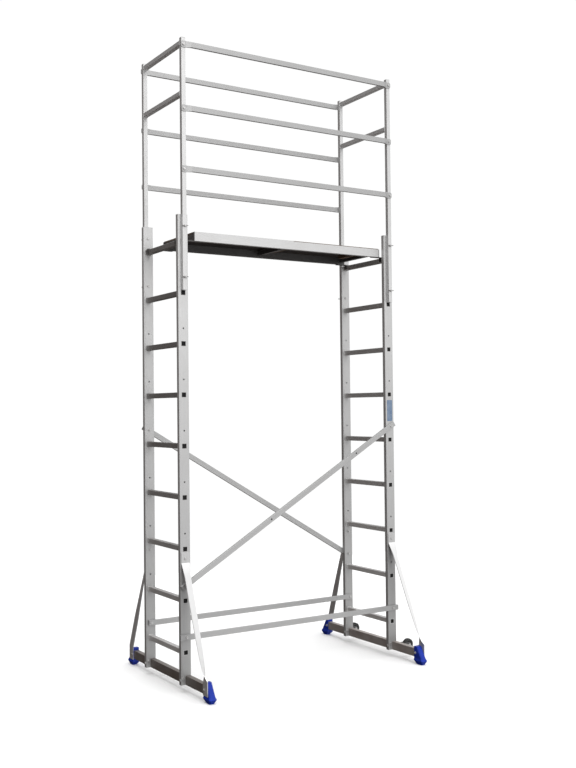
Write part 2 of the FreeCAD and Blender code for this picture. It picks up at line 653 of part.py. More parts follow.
deck_left_x = LADDER_X["left"] + DECK_END_INSET["left"]
deck_right_x = LADDER_X["right"] - DECK_END_INSET["right"]
deck_middle_x = (deck_left_x + deck_right_x) / 2
deck_top_z = top_rung_z + DECK_TOP
ledge_z = deck_top_z - PLY_THICKNESS
hook_under_z = top_rung_z + RUNG_SIZE / 2 + HOOK_CLEARANCE
beam_bottom_z = hook_under_z + HOOK_THICKNESS
beam_outer_y = stile_inner_y - DECK_SIDE_GAP
beam_inner_y = beam_outer_y - BEAM_WIDTH
ply_y = beam_outer_y - BEAM_LIP_THICKNESS - 0.3
hatch_x = (deck_middle_x + HATCH_START, deck_right_x - HATCH_END_INSET)
hinge_y = ply_y - HATCH_STRIP
hinge_z = deck_top_z + HINGE_BARREL_RADIUS + HINGE_GAP


def side_beam(facing):
    """Box beam with a ledge for the plywood and a lip outside it, lower along the hatch."""
    x_range = (deck_left_x, deck_right_x)
    outer = facing * beam_outer_y
    beam = block(x_range, (outer, facing * beam_inner_y), (beam_bottom_z, ledge_z))
    inside_y = (outer - facing * BEAM_WALL, facing * (beam_inner_y + BEAM_WALL))
    inside_z = (beam_bottom_z + BEAM_WALL, ledge_z - BEAM_WALL)
    beam = beam.cut(block(x_range, inside_y, inside_z))
    lip_y = (outer, outer - facing * BEAM_LIP_THICKNESS)
    low_lip = block(x_range, lip_y, (ledge_z, ledge_z + BEAM_LIP_HEIGHT))
    fixed_end = hatch_x[0] if facing == FACING["front"] else deck_right_x
    full_lip = block((deck_left_x, fixed_end), lip_y, (ledge_z, deck_top_z))
    return beam.fuse([low_lip, full_lip]).removeSplitter()


def end_hooks(ladder_x, side, inset):
    """One profile per beam: a saddle over the rung, an end wall and a tail under the beam."""
    half = RUNG_SIZE / 2 + HOOK_CLEARANCE
    outer = half + HOOK_THICKNESS
    wall = HOOK_THICKNESS - inset
    tail = -inset - HOOK_TAIL
    outline = [
        (tail, hook_under_z),
        (-outer, hook_under_z),
        (-outer, beam_bottom_z - HOOK_LIP),
        (-half, beam_bottom_z - HOOK_LIP),
        (-half, hook_under_z),
        (half, hook_under_z),
        (half, beam_bottom_z - HOOK_LIP),
        (outer, beam_bottom_z - HOOK_LIP),
        (outer, beam_bottom_z),
        (wall, beam_bottom_z),
        (wall, ledge_z + BEAM_LIP_HEIGHT),
        (-inset, ledge_z + BEAM_LIP_HEIGHT),
        (-inset, beam_bottom_z),
        (tail, beam_bottom_z),
    ]
    nose_x = ladder_x + side * outer
    hooks = []
    for low_y in (-beam_outer_y, beam_inner_y):
        points = [FreeCAD.Vector(ladder_x + side * x, low_y, z) for x, z in outline]
        profile = Part.Face(Part.makePolygon(points + points[:1])).extrude(Y_AXIS * BEAM_WIDTH)
        nose = [edge for edge in profile.Edges
                if abs(edge.tangentAt(0).y) > 0.9 and abs(edge.CenterOfMass.x - nose_x) < 0.01]
        hooks.append(profile.makeFillet(HOOK_THICKNESS * 0.4, nose))
    return hooks


def cross_member(x_middle):
    """Tube between the side beams, under the plywood."""
    half = CROSS_WIDTH / 2
    low_z = ledge_z - CROSS_HEIGHT
    y_range = (-beam_inner_y, beam_inner_y)
    tube = block((x_middle - half, x_middle + half), y_range, (low_z, ledge_z))
    inside_x = (x_middle - half + BEAM_WALL, x_middle + half - BEAM_WALL)
    return tube.cut(block(inside_x, y_range, (low_z + BEAM_WALL, ledge_z - BEAM_WALL)))


def cross_member_places():
    """The left end and both ends of the hatch."""
    half = CROSS_WIDTH / 2
    return [deck_left_x + half, hatch_x[0] - half, hatch_x[1] + half]


def deck_panel():
    """Fixed plywood with the hatch opening cut from its front edge."""
    z_range = (ledge_z, deck_top_z)
    panel = block((deck_left_x, deck_right_x), (-ply_y, ply_y), z_range)
    opening_y = (-ply_y - OVERHANG, hinge_y + HATCH_GAP / 2)
    cut_x = (hatch_x[0] - HATCH_GAP / 2, hatch_x[1] + HATCH_GAP / 2)
    return panel.cut(block(cut_x, opening_y, z_range))


def hatch_panel():
    z_range = (ledge_z + 0.3, deck_top_z)
    x_range = (hatch_x[0] + HATCH_GAP / 2, hatch_x[1] - HATCH_GAP / 2)
    return block(x_range, (-ply_y, hinge_y - HATCH_GAP / 2), z_range)


def hatch_battens():
    """Two stiffeners under the hatch, clear of the members beside it."""
    z_high = ledge_z + 0.3
    y_range = (-beam_inner_y + BATTEN_SIDE_GAP, hinge_y - BATTEN_WIDTH)
    clear = CROSS_WIDTH / 2 + BATTEN_SIDE_GAP
    lows = (hatch_x[0] + clear, hatch_x[1] - clear - BATTEN_WIDTH)
    return [block((x, x + BATTEN_WIDTH), y_range, (z_high - BATTEN_HEIGHT, z_high)) for x in lows]


def hinge_leaf(facing, first, clearance):
    """Leaf with every second knuckle, starting from the given one."""
    length_middle = sum(hatch_x) / 2
    low_x = length_middle - HINGE_LENGTH / 2
    pitch = HINGE_LENGTH / HINGE_KNUCKLES
    z_range = (deck_top_z, deck_top_z + HINGE_LEAF_THICKNESS)
    edge_y = hinge_y + facing * HINGE_BARREL_RADIUS
    leaf = block((low_x, low_x + HINGE_LENGTH), (edge_y, hinge_y + facing * HINGE_LEAF), z_range)
    for index in range(first, HINGE_KNUCKLES, 2):
        start_x = low_x + index * pitch + HINGE_GAP / 2
        width = pitch - HINGE_GAP
        barrel = rod(FreeCAD.Vector(start_x, hinge_y, hinge_z), X_AXIS, width, HINGE_BARREL_RADIUS)
        web_z = (deck_top_z + HINGE_GAP, deck_top_z + HINGE_LEAF_THICKNESS)
        web = block((start_x, start_x + width), (hinge_y + facing, edge_y), web_z)
        leaf = leaf.fuse([barrel, web])
    start = FreeCAD.Vector(low_x - OVERHANG, hinge_y, hinge_z)
    bore = rod(start, X_AXIS, HINGE_LENGTH + 2 * OVERHANG, HINGE_PIN_RADIUS + clearance)
    return leaf.cut(bore).removeSplitter()


def hinge_pin():
    low_x = sum(hatch_x) / 2 - HINGE_LENGTH / 2
    return rod(FreeCAD.Vector(low_x, hinge_y, hinge_z), X_AXIS, HINGE_LENGTH, HINGE_PIN_RADIUS)


# Nodes ------------------------------------------------------------------------------------

os.makedirs("parts", exist_ok=True)

caps, frame_bolts, guard_bolts, wheel_axles = [], [], [], []
for side_name, x in LADDER_X.items():
    outer_side = -1 if side_name == "left" else 1
    export("rungs_" + side_name, [rung(x, rung_z(number + 1)) for number in range(RUNG_COUNT)])
    export("base_bar_" + side_name, base_bar(x))
    export("deck_hook_" + side_name, end_hooks(x, outer_side, DECK_END_INSET[side_name]))
    export("guard_crossbars_" + side_name, [crossbar(x, height) for height in CROSSBAR_HEIGHTS])
    for face_name, facing in FACING.items():
        corner = side_name + "_" + face_name
        export("stile_" + corner, stile(x, facing))
        export("foot_" + corner, foot(x, facing))
        export("stay_" + corner, stay(x, facing, outer_side, STAY_TWIST[face_name]))
        export("guard_post_" + corner, guard_post(x, facing))
        outward = Y_AXIS * facing
        cap_point = FreeCAD.Vector(x, facing * LADDER_WIDTH / 2, stile_top_z)
        caps.append(placed(cap_plug(STILE_WIDTH, STILE_DEPTH, STILE_WALL), cap_point, Z_AXIS))
        cap_point = FreeCAD.Vector(x, post_y(facing), top_rung_z + POST_TOP)
        caps.append(placed(cap_plug(POST_SIZE, POST_SIZE, POST_WALL), cap_point, Z_AXIS))
        stay_face = facing * (stile_face_y + STAY_THICKNESS)
        stay_top = FreeCAD.Vector(x, stay_face, rung_z(STAY_RUNG) - STAY_BOLT_DROP)
        frame_bolts += bolt_and_nut(stay_top, outward * -1, STAY_THICKNESS + STILE_DEPTH)
        plate_face = stay_bolt_point(x, facing)
        plate_face.x = stay_plate_x(x, outer_side) + outer_side * STAY_THICKNESS / 2
        grip = STAY_THICKNESS + BAR_WIDTH + 2 * FOOT_WALL
        frame_bolts += bolt_and_nut(plate_face, X_AXIS * -outer_side, grip)
        tongue = FreeCAD.Vector(tongue_x(x), facing * stile_face_y, bar_top_z - BAR_HEIGHT / 4)
        frame_bolts += bolt_and_nut(tongue, outward * -1, STILE_DEPTH)
        through = FreeCAD.Vector(x - STILE_WIDTH / 2, facing * LADDER_WIDTH / 2, bar_middle_z)
        frame_bolts += bolt_and_nut(through, X_AXIS, STILE_WIDTH / 2 + BAR_OFFSET + BAR_WIDTH)
        for level, number in (("lower", RUNG_COUNT - 1), ("upper", RUNG_COUNT)):
            fixing, clamp = guard_fixing(x, facing, number)
            guard_bolts.append(fixing)
            export("wing_nut_" + corner + "_" + level, clamp)

for face_name, facing in FACING.items():
    export("tyre_" + face_name, tyre(face_name))
    export("wheel_hub_" + face_name, hub(face_name))
    export("wheel_bracket_" + face_name, wheel_bracket(face_name))
    wheel_axles += wheel_axle(face_name)
    for level, height in RAIL_HEIGHTS.items():
        start, end = rail_points(facing, height)
        export("guard_rail_" + face_name + "_" + level, flattened_rail(start, end, facing, RAIL_END))
        for point in (start, end):
            guard_bolts += tube_bolts(point, facing, TUBE_TAB_THICKNESS, POST_WALL)
    export("deck_beam_" + face_name, side_beam(facing))

for name, (y, facing, left_rung, right_rung, overrun, spare_holes) in BRACES.items():
    start = FreeCAD.Vector(LADDER_X["left"], y, hole_z(left_rung))
    end = FreeCAD.Vector(LADDER_X["right"], y, hole_z(right_rung))
    export(name, open_brace(start, end, facing, overrun, spare_holes))
    for point in (start, end):
        frame_bolts += tube_bolts(point, facing, TUBE_DEPTH, STILE_DEPTH)

export("end_caps", caps)
export("frame_bolts", frame_bolts)
export("guard_bolts", guard_bolts)
export("wheel_axles", wheel_axles)
export("deck_cross_members", [cross_member(x) for x in cross_member_places()])
export("deck_panel", deck_panel())
export("hatch_panel", hatch_panel())
export("hatch_battens", hatch_battens())
export("hatch_hinge_fixed_leaf", [hinge_leaf(1, 0, 0.0), hinge_pin()])
export("hatch_hinge_moving_leaf", hinge_leaf(-1, 1, HINGE_PIN_CLEARANCE))
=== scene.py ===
import math

import bmesh
import bpy
import numpy as np
from mathutils import Matrix, Vector


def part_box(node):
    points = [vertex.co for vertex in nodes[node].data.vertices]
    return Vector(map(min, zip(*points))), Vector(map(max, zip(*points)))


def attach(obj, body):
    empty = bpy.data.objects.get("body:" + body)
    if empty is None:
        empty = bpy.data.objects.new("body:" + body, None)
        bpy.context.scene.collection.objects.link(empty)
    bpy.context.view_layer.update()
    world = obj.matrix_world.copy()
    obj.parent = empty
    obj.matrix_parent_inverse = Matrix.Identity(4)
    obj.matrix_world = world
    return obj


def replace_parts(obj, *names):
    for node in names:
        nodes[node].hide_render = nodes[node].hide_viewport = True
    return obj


# Aluminium ladder scaffold tower. Metres, in the CAD model's frame: +X runs from the left
# ladder to the wheeled right one, -Y is the front and +Z is up.

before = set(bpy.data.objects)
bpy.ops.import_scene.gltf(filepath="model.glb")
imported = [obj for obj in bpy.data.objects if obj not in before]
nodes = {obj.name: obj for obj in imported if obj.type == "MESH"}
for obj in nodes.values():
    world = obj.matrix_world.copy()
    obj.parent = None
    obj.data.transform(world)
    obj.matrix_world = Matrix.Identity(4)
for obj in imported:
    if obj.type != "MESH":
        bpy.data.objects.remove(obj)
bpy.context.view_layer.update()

# Camera, seen from the front and the left at the height of a person's eyes
CAMERA_PLACE = Vector((-3.1994, -5.2054, 1.5339))
CAMERA_YAW = math.radians(32.225)
CAMERA_PITCH = math.radians(1.385)
CAMERA_ROLL = math.radians(-0.594)
CAMERA_LENS = 47.29
SENSOR = 36.0
CAMERA_FAR = 200

# Light
WORLD_STRENGTH = 0.9
WORLD_BRIGHT_SIDE = (0.5, -0.5, 0.7)
WORLD_DARK_SIDE_COLOUR = (0.06, 0.042, 0.034, 1.0)
WORLD_SIDE_FADE = (-0.6, 0.2)
BACKDROP_BRIGHTNESS = 1.02
KEY_DIRECTION = (0.0, 1.0, -0.45)
KEY_STRENGTH = 1.3
KEY_ANGLE = 35.0
TOP_DIRECTION = (0.05, 0.08, -1.0)
TOP_STRENGTH = 1.25
TOP_ANGLE = 45.0
FLOOR_HALF_SIZE = 3.4
FLOOR_DROP = 0.0005
WHITE = (1, 1, 1, 1)

# Small details, in metres and degrees. Sinks, pitches, shares and bands are parts of the radius
# or half width that they belong to; a profile's pairs are a share of the width and a distance.
BEVEL = 0.0005
BEVEL_ANGLE = 40
FOOT_BEVEL_FACTOR = 3
CREASE_ANGLE = 35
WELD_RADIUS = 0.0018
WELD_SINK = 0.4
WELD_RIPPLES = 26
WELD_RIPPLE_DEPTH = 0.16
RIB_HEIGHT = 0.0005
RIB_WIDTH = 0.0013
RIB_COUNT = 5
RIB_PITCH = 0.36
RIB_END_GAP = 0.004
RUNG_WALL = 0.0018
RUNG_CORNER = 0.0022
CROSSBAR_CORNER = 0.0018
PLUG_CORNER = 0.0045
PLUG_RECESS = 0.0008
PLUG_PROFILE = ((1.0, -0.006), (1.0, -0.0006), (0.93, 0.0), (0.74, 0.0), (0.66, -0.0018))
BOLT_SHORTEST = 0.0165
BOLT_SHANK_REACH = 0.006
NUT_FURTHEST = 0.12
NUT_OFF_AXIS = 0.001
WASHER_RADIUS = 0.0084
WASHER_HOLE_RADIUS = 0.0042
WASHER_THICKNESS = 0.0013
RIVET_RADIUS = 0.004
RIVET_HEIGHT = 0.0014
RIVET_PITCH = 0.16
RIVET_INSET = 0.014
RIVET_END_GAP = 0.03
TREAD_GROOVE = 0.0012
TREAD_BANDS = (-0.45, 0.0, 0.45)
TREAD_SHOULDER = 0.82
SPOKES = 6
SPOKE_HALF_THICKNESS = 0.0016
SPOKE_START = 0.0105
SPOKE_END_GAP = 0.0038
LABEL_SIZE = (0.040, 0.130)
LABEL_RUNG = 5
LABEL_DROP = 0.100
LABEL_CORNER = 0.004
LABEL_THICKNESS = 0.0004
PLY_PITCH = 0.0026
FILM_MESH_PITCH = 0.006

X_AXIS = Vector((1, 0, 0))
Y_AXIS = Vector((0, 1, 0))
Z_AXIS = Vector((0, 0, 1))


# Places taken from the frame ----------------------------------------------------------------

def box(name):
    """Lowest and highest corner of a CAD node, as vectors."""
    low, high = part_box(name)
    return Vector(low), Vector(high)


def islands(obj):
    """Vertex coordinates of each separate solid in a CAD node's mesh, as arrays."""
    mesh = obj.data
    count = len(mesh.vertices)
    points = np.empty(count * 3)
    mesh.vertices.foreach_get("co", points)
    points = points.reshape(-1, 3)
    welded = {}
    group = list(range(count))

    def root(index):
        while group[index] != index:
            group[index] = group[group[index]]
            index = group[index]
        return index

    for index, key in enumerate(map(tuple, np.round(points, 6))):
        group[index] = root(welded.setdefault(key, index))
    for edge in mesh.edges:
        first, second = edge.vertices
        group[root(first)] = root(second)
    members = {}
    for index in range(count):
        members.setdefault(root(index), []).append(index)
    return [points[indices] for indices in members.values()]


def solid_boxes(name):
    """Middle of each separate solid in a CAD node, and half its height."""
    places = []
    for points in islands(nodes[name]):
        low, high = Vector(points.min(axis=0)), Vector(points.max(axis=0))
        places.append(((low + high) / 2, (high.z - low.z) / 2))
    return places


# Materials ------------------------------------------------------------------------------------

class Shader:
    """A Principled material with short helpers for its texture nodes."""

    def __init__(self, name, roughness=0.5, metallic=0.0, specular=0.5):
        self.material = bpy.data.materials.new(name)
        self.material.use_nodes = True
        self.tree = self.material.node_tree
        self.bsdf = self.tree.nodes["Principled BSDF"]
        self.bsdf.inputs["Roughness"].default_value = roughness
        self.bsdf.inputs["Metallic"].default_value = metallic
        self.bsdf.inputs["Specular IOR Level"].default_value = specular
        self.coordinates = self.tree.nodes.new("ShaderNodeTexCoord").outputs["Object"]

    def node(self, kind, inputs=None, **settings):
        made = self.tree.nodes.new("ShaderNode" + kind)
        for key, value in settings.items():
            setattr(made, key, value)
        for key, value in (inputs or {}).items():
            self.feed(made.inputs[key], value)
        return made

    def feed(self, socket, value):
        if isinstance(value, bpy.types.NodeSocket):
            self.tree.links.new(value, socket)
        else:
            socket.default_value = value

    def mapped(self, scale, rotation=(0, 0, 0)):
        """Object coordinates, turned and then stretched."""
        turned = self.node("Mapping", {"Vector": self.coordinates, "Rotation": rotation})
        return self.node("Mapping", {"Vector": turned.outputs[0], "Scale": scale}).outputs[0]

    def noise(self, scale, detail=3.0, vector=None, roughness=0.5):
        made = self.node("TexNoise", {"Vector": vector or self.coordinates, "Scale": scale,
                                      "Detail": detail, "Roughness": roughness})
        return made.outputs["Fac"]

    def spread(self, value, low, high, to_low=0.0, to_high=1.0):
        made = self.node("MapRange", {"Value": value, "From Min": low, "From Max": high,
                                      "To Min": to_low, "To Max": to_high})
        return made.outputs["Result"]

    def mix(self, factor, first, second, blend="MIX"):
        made = self.node("Mix", data_type="RGBA", blend_type=blend)
        self.feed(made.inputs["Factor"], factor)
        self.feed(made.inputs[6], first)
        self.feed(made.inputs[7], second)
        return made.outputs[2]

    def math(self, operation, first, second=0.0):
        return self.node("Math", {0: first, 1: second}, operation=operation).outputs[0]

    def face_normal(self):
        return self.node("NewGeometry").outputs["True Normal"]

    def edges(self, radius):
        """Near 1 along sharp edges and 0 on flat faces."""
        soft = self.node("Bevel", {"Radius": radius}, samples=4).outputs["Normal"]
        dot = self.node("VectorMath", {0: soft, 1: self.face_normal()}, operation="DOT_PRODUCT")
        return self.spread(dot.outputs["Value"], 0.995, 0.86)

    def bump(self, height, distance, strength=1.0, normal=None):
        inputs = {"Height": height, "Distance": distance, "Strength": strength}
        if normal:
            inputs["Normal"] = normal
        return self.node("Bump", inputs).outputs["Normal"]

    def finish(self, colour=None, roughness=None, normal=None):
        if colour is not None:
            self.feed(self.bsdf.inputs["Base Color"], colour)
        if roughness is not None:
            self.feed(self.bsdf.inputs["Roughness"], roughness)
        if normal is not None:
            self.feed(self.bsdf.inputs["Normal"], normal)
        return self.material


def grey(value, warmth=0.0):
    return (value * (1 + warmth), value, value * (1 - warmth), 1.0)


def stretch_along(axis):
    """Scale that draws a texture out along one axis."""
    return tuple(1.0 if index == axis else 60.0 for index in range(3))


def extruded_aluminium(name, axis, tone=0.5, slope=0.0, low=None, warmth=0.0, upward_painted_light=0.0):
    """Mill-finish extrusion: die lines along it, cloudy oxide, scuffs and brighter edges.

    Low is the tone at the ground and the height up to which it fades into the main tone; this is
    painted light and shade by height.
    The last argument is the tone of faces that lean upwards: painted light, so that they read as
    lit from above.
    """
    shader = Shader(name, metallic=0.5)
    vector = shader.mapped(stretch_along(axis), (0, slope, 0))
    lines = shader.noise(14.0, 4.0, vector, 0.6)
    cloud = shader.noise(5.0, 4.0)
    patches = shader.noise(26.0, 6.0, roughness=0.65)
    scuffs = shader.spread(shader.noise(95.0, 8.0, roughness=0.7), 0.62, 0.74)
    worn = shader.math("MULTIPLY", shader.edges(0.0012), 0.4)
    colour = shader.mix(shader.spread(lines, 0.3, 0.7),
                        grey(tone * 0.93, 0.004), grey(tone * 1.05))
    colour = shader.mix(shader.spread(cloud, 0.42, 0.7, 0.0, 0.35),
                        colour, grey(tone * 0.86, 0.012))
    colour = shader.mix(shader.spread(patches, 0.58, 0.75, 0.0, 0.3),
                        colour, grey(tone * 0.8, 0.02))
    colour = shader.mix(shader.math("MULTIPLY", scuffs, 0.25), colour, grey(tone * 1.22))
    colour = shader.mix(worn, colour, grey(tone * 1.25))
    # Painted light and shade by height: towards the ground the colour is multiplied by the low tone
    # over the main tone.
    if low:
        height = shader.node("SeparateXYZ", {0: shader.coordinates}).outputs["Z"]
        share = shader.spread(height, 0.1, low[1], 1.0, 0.0)
        painted_ground_tone = shader.mix(1.0, colour, grey(low[0] / tone), "MULTIPLY")
        colour = shader.mix(share, colour, painted_ground_tone)
    # Painted light: faces that lean upwards take a lighter tone, as if lit from above.
    if upward_painted_light:
        upward = shader.node("SeparateXYZ", {0: shader.face_normal()}).outputs["Z"]
        colour = shader.mix(shader.spread(upward, 0.04, 0.22), colour, grey(upward_painted_light))
    # Darker brown patches, as strong as the warmth.
    if warmth:
        brown_patches = shader.spread(shader.noise(9.0, 5.0), 0.3, 0.7, 0.6 * warmth, warmth)
        colour = shader.mix(brown_patches, colour, (tone * 0.34, tone * 0.25, tone * 0.2, 1))
    rough = shader.spread(lines, 0.25, 0.75, 0.36, 0.5)
    rough = shader.math("ADD", rough, shader.spread(patches, 0.5, 0.8, 0.0, 0.12))
    normal = shader.bump(lines, 0.00025, 0.5)
    normal = shader.bump(shader.noise(420.0, 3.0), 0.00008, 0.5, normal)
    return shader.finish(colour, rough, normal)


def zinc_steel():
    """Zinc plate: pale patches with a faint warm cast."""
    shader = Shader("zinc_steel", metallic=0.85)
    patches = shader.noise(160.0, 5.0)
    colour = shader.mix(shader.spread(patches, 0.35, 0.7), grey(0.42, 0.02), grey(0.62))
    colour = shader.mix(shader.math("MULTIPLY", shader.edges(0.0008), 0.5), colour, grey(0.75))
    rough = shader.spread(shader.noise(70.0, 4.0), 0.3, 0.7, 0.26, 0.45)
    normal = shader.bump(shader.noise(700.0, 2.0), 0.00006, 0.6)
    return shader.finish(colour, rough, normal)


def moulded_plastic(name, colour, worn, dust, roughness=0.42, specular=0.5):
    """Fine-grained moulding with dust in its texture and paler edges."""
    shader = Shader(name, specular=specular)
    grain = shader.noise(900.0, 2.0)
    clouds = shader.noise(24.0, 4.0)
    dusty = shader.spread(shader.noise(60.0, 7.0), 0.56, 0.74, 0.0, 0.22)
    deeper = tuple(channel * 0.8 for channel in colour[:3]) + (1,)
    shade = shader.mix(shader.spread(clouds, 0.35, 0.7), colour, deeper)
    shade = shader.mix(dusty, shade, dust)
    shade = shader.mix(shader.math("MULTIPLY", shader.edges(0.0022), 0.45), shade, worn)
    rough = shader.spread(clouds, 0.3, 0.7, roughness - 0.06, roughness + 0.1)
    return shader.finish(shade, rough, shader.bump(grain, 0.00012, 0.6))


def rubber():
    shader = Shader("tyre_rubber", specular=0.35)
    dust = shader.spread(shader.noise(70.0, 6.0), 0.45, 0.75, 0.0, 0.5)
    colour = shader.mix(dust, grey(0.022), grey(0.085, 0.06))
    rough = shader.spread(shader.noise(40.0, 3.0), 0.3, 0.7, 0.6, 0.82)
    return shader.finish(colour, rough, shader.bump(shader.noise(600.0, 3.0), 0.0002, 0.6))


def film_plywood():
    """Brown film-faced plywood: a pressed mesh on its faces and plies along its edges."""
    shader = Shader("film_plywood", specular=0.45)
    normal_z = shader.node("SeparateXYZ", {0: shader.face_normal()}).outputs["Z"]
    edge = shader.spread(shader.math("ABSOLUTE", normal_z), 0.6, 0.4)
    mesh_x = wave_line(shader, (1, 0, 0))
    mesh_y = wave_line(shader, (0, 1, 0))
    pattern = shader.math("MULTIPLY", mesh_x, mesh_y)
    cloud = shader.noise(7.0, 5.0)
    film = shader.mix(shader.spread(cloud, 0.35, 0.7),
                      (0.012, 0.008, 0.006, 1), (0.024, 0.017, 0.012, 1))
    film = shader.mix(shader.spread(shader.noise(32.0, 8.0), 0.56, 0.72, 0.0, 0.3),
                      film, (0.06, 0.048, 0.04, 1))
    height = shader.node("SeparateXYZ", {0: shader.coordinates}).outputs["Z"]
    plies = shader.math("SINE", shader.math("MULTIPLY", height, 2 * math.pi / PLY_PITCH))
    grain = shader.noise(40.0, 5.0, shader.mapped((1, 1, 30)))
    wood = shader.mix(shader.spread(plies, -0.4, 0.4),
                      (0.055, 0.034, 0.02, 1), (0.16, 0.1, 0.058, 1))
    wood = shader.mix(shader.spread(grain, 0.4, 0.7, 0.0, 0.5), wood, (0.04, 0.025, 0.015, 1))
    rough = shader.spread(cloud, 0.3, 0.7, 0.42, 0.6)
    return shader.finish(shader.mix(edge, film, wood), rough, shader.bump(pattern, 0.0004, 0.7))


def wave_line(shader, direction):
    """Fine stripes across a direction."""
    dot = shader.node("VectorMath", {0: shader.coordinates, 1: direction}, operation="DOT_PRODUCT")
    angle = shader.math("MULTIPLY", dot.outputs["Value"], 2 * math.pi / FILM_MESH_PITCH)
    return shader.spread(shader.math("SINE", angle), -0.6, 0.6)


def sawn_wood():
    shader = Shader("batten_wood")
    rings = shader.noise(9.0, 5.0, shader.mapped((14, 1, 14)), 0.6)
    fibres = shader.noise(60.0, 4.0, shader.mapped((20, 1, 20)))
    colour = shader.mix(shader.spread(rings, 0.35, 0.65),
                        (0.1, 0.06, 0.032, 1), (0.17, 0.105, 0.06, 1))
    colour = shader.mix(shader.spread(fibres, 0.45, 0.75, 0.0, 0.5),
                        colour, (0.06, 0.035, 0.018, 1))
    rough = shader.spread(fibres, 0.3, 0.7, 0.6, 0.8)
    return shader.finish(colour, rough, shader.bump(fibres, 0.0004, 0.6))


def label_film():
    shader = Shader("label_film")
    fade = shader.noise(30.0, 4.0)
    specks = shader.spread(shader.noise(180.0, 8.0), 0.6, 0.75, 0.0, 0.4)
    colour = shader.mix(shader.spread(fade, 0.35, 0.7),
                        (0.12, 0.18, 0.28, 1), (0.19, 0.25, 0.34, 1))
    colour = shader.mix(specks, colour, grey(0.6))
    return shader.finish(colour, shader.spread(fade, 0.3, 0.7, 0.25, 0.4))


def floor_paint():
    shader = Shader("floor", roughness=0.7, specular=0.2)
    return shader.finish(shader.mix(shader.noise(0.6, 3.0), grey(0.93), grey(0.95)))


# Mesh building --------------------------------------------------------------------------------

def piece(name, mesh, material, body):
    """Piece made from a bmesh, riding on a CAD body."""
    data = bpy.data.meshes.new(name)
    bmesh.ops.recalc_face_normals(mesh, faces=mesh.faces)
    mesh.to_mesh(data)
    mesh.free()
    obj = bpy.data.objects.new(name, data)
    bpy.context.scene.collection.objects.link(obj)
    data.materials.append(material)
    for face in data.polygons:
        face.use_smooth = True
    data.set_sharp_from_angle(angle=math.radians(CREASE_ANGLE))
    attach(obj, body)
    return obj


def frame_from(direction):
    """Two unit vectors across a direction."""
    side = Z_AXIS if abs(direction.z) < 0.9 else X_AXIS
    first = direction.cross(side).normalized()
    return first, direction.cross(first).normalized()


def add_six_sided(mesh, corners):
    """Solid with six faces; its eight corners run fastest along the third direction."""
    made = [mesh.verts.new(corner) for corner in corners]
    for face in ((0, 1, 3, 2), (4, 6, 7, 5), (0, 4, 5, 1),
                 (2, 3, 7, 6), (0, 2, 6, 4), (1, 5, 7, 3)):
        mesh.faces.new([made[index] for index in face])


def ring_points(middle, first, second, radius, sides):
    """Points round a circle, in the plane of two directions."""
    angles = [2 * math.pi * side / sides for side in range(sides)]
    return [middle + (first * math.cos(a) + second * math.sin(a)) * radius for a in angles]


def join_rings(mesh, rings, closed=False):
    """Faces between rings of vertices that follow one another."""
    pairs = list(zip(rings, rings[1:]))
    if closed:
        pairs.append((rings[-1], rings[0]))
    for ring, following in pairs:
        for index in range(len(ring)):
            other = (index + 1) % len(ring)
            mesh.faces.new([ring[index], ring[other], following[other], following[index]])


def add_loop_tube(mesh, path, radius, sides=6):
    """Tube round a closed path; radius is a function of the share of the way round."""
    count = len(path)
    rings = []
    for index, point in enumerate(path):
        along = (path[(index + 1) % count] - path[index - 1]).normalized()
        first, second = frame_from(along)
        around = ring_points(point, first, second, radius(index / count), sides)
        rings.append([mesh.verts.new(place) for place in around])
    for index in range(count):
        ring, following = rings[index], rings[(index + 1) % count]
        best = min(range(sides), key=lambda shift: (ring[0].co - following[shift].co).length)
        for side in range(sides):
            mesh.faces.new([ring[side], ring[(side + 1) % sides],
                            following[(side + 1 + best) % sides], following[(side + best) % sides]])


def square_path(middle, first, second, half, corner, steps=5, straight=8):
    """Rounded square round a point, in the plane of two directions."""
    inner = half - corner
    points = []
    for quarter in range(4):
        turn = math.pi / 2 * quarter
        across = first * math.cos(turn) + second * math.sin(turn)
        up = second * math.cos(turn) - first * math.sin(turn)
        for step in range(straight):
            share = step / straight
            points.append(middle + across * half + up * (inner * (2 * share - 1)))
        for step in range(steps):
            angle = math.pi / 2 * step / steps
            points.append(middle + across * (inner + corner * math.cos(angle))
                          + up * (inner + corner * math.sin(angle)))
    return points


def add_weld(mesh, middle, normal, half, corner):
    """Rippled bead round a square tube, where it meets a face."""
    first, second = frame_from(normal)
    path = square_path(middle, first, second, half, corner)

    def radius(share):
        ripple = math.sin(2 * math.pi * WELD_RIPPLES * share)
        return WELD_RADIUS * (1 + WELD_RIPPLE_DEPTH * ripple)

    add_loop_tube(mesh, path, radius)


def add_plug(mesh, middle, normal, half, corner):
    """Dished cap in a square tube's mouth, facing along the normal."""
    first, second = frame_from(normal)
    rings = []
    for share, along in PLUG_PROFILE:
        path = square_path(middle + normal * along, first, second,
                           half * share, corner * share, straight=2)
        rings.append([mesh.verts.new(point) for point in path])
    join_rings(mesh, rings)
    mesh.faces.new(rings[-1])


def add_lathe(mesh, middle, axis, profile, sides, closed=False):
    """Surface of revolution; profile is (radius, distance along the axis) pairs."""
    first, second = frame_from(axis)
    rings = []
    for radius, along in profile:
        around = ring_points(middle + axis * along, first, second, radius, sides)
        rings.append([mesh.verts.new(place) for place in around])
    join_rings(mesh, rings, closed)
    if not closed:
        mesh.faces.new(rings[0])
        mesh.faces.new(rings[-1])


# Pieces -----------------------------------------------------------------------------------------

